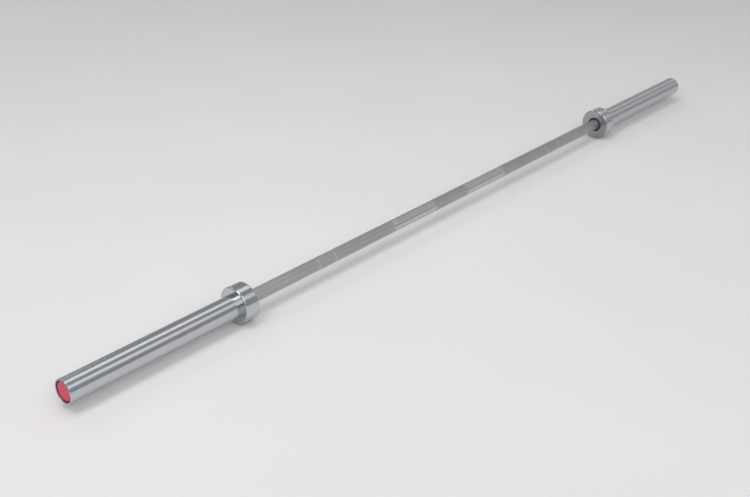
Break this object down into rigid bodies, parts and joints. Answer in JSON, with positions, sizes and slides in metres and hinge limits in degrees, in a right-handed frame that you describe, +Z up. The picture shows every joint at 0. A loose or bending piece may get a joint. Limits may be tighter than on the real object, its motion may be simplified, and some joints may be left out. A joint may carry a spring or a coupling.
{
  "type": "olympic barbell",
  "caption": "Long straight bar with a knurled grip, hand-spacing rings, and at each end a wide collar and a smooth free-turning sleeve that takes weight plates.",
  "frame": {"origin": "middle of the shaft's axis, halfway between the sleeves", "axes": "+X along the bar towards the right end, +Z up"},
  "size_m": [2.184, 0.08, 0.08],
  "materials": {
    "shaft_chrome": "hard chrome over a diamond knurl, satin",
    "sleeve_chrome": "satin turned chrome",
    "collar_chrome": "satin turned chrome",
    "seal_rubber": "matt black",
    "bushing_bronze": "oiled sintered bronze",
    "bearing_steel": "ground steel",
    "cage_plastic": "moulded, matt",
    "spring_steel": "black oxide",
    "cap_red": "moulded, semi-gloss"
  },
  "bodies": {
    "shaft_assembly": {"shaft": "shaft_chrome", "left_inner_thrust_washer": "bearing_steel", "left_outer_thrust_washer": "bearing_steel", "left_shaft_retaining_ring": "spring_steel", "right_inner_thrust_washer": "bearing_steel", "right_outer_thrust_washer": "bearing_steel", "right_shaft_retaining_ring": "spring_steel"},
    "left_sleeve_assembly": {"left_sleeve": "sleeve_chrome", "left_collar": "collar_chrome", "left_dust_seal": "seal_rubber", "left_bronze_bushing": "bushing_bronze", "left_inner_bearing_cup": "bearing_steel", "left_outer_bearing_cup": "bearing_steel", "left_end_cap": "cap_red", "left_cap_snap_ring": "spring_steel"},
    "left_needle_train": {"left_inner_needle_cage": "cage_plastic", "left_inner_needle_rollers": "bearing_steel", "left_outer_needle_cage": "cage_plastic", "left_outer_needle_rollers": "bearing_steel"},
    "right_sleeve_assembly": {"right_sleeve": "sleeve_chrome", "right_collar": "collar_chrome", "right_dust_seal": "seal_rubber", "right_bronze_bushing": "bushing_bronze", "right_inner_bearing_cup": "bearing_steel", "right_outer_bearing_cup": "bearing_steel", "right_end_cap": "cap_red", "right_cap_snap_ring": "spring_steel"},
    "right_needle_train": {"right_inner_needle_cage": "cage_plastic", "right_inner_needle_rollers": "bearing_steel", "right_outer_needle_cage": "cage_plastic", "right_outer_needle_rollers": "bearing_steel"}
  },
  "joints": [
    {"name": "left_sleeve_spin", "type": "hinge", "parent": "shaft_assembly", "child": "left_sleeve_assembly", "pos_m": [-0.9, 0, 0], "axis": [1, 0, 0], "continuous": true},
    {"name": "left_needle_orbit", "type": "hinge", "parent": "shaft_assembly", "child": "left_needle_train", "pos_m": [-0.9, 0, 0], "axis": [1, 0, 0], "continuous": true},
    {"name": "right_sleeve_spin", "type": "hinge", "parent": "shaft_assembly", "child": "right_sleeve_assembly", "pos_m": [0.9, 0, 0], "axis": [1, 0, 0], "continuous": true},
    {"name": "right_needle_orbit", "type": "hinge", "parent": "shaft_assembly", "child": "right_needle_train", "pos_m": [0.9, 0, 0], "axis": [1, 0, 0], "continuous": true}
  ],
  "couplings": [
    {"joint": "left_needle_orbit", "follows": "left_sleeve_spin", "ratio": 0.54546},
    {"joint": "right_needle_orbit", "follows": "right_sleeve_spin", "ratio": 0.54546}
  ]
}
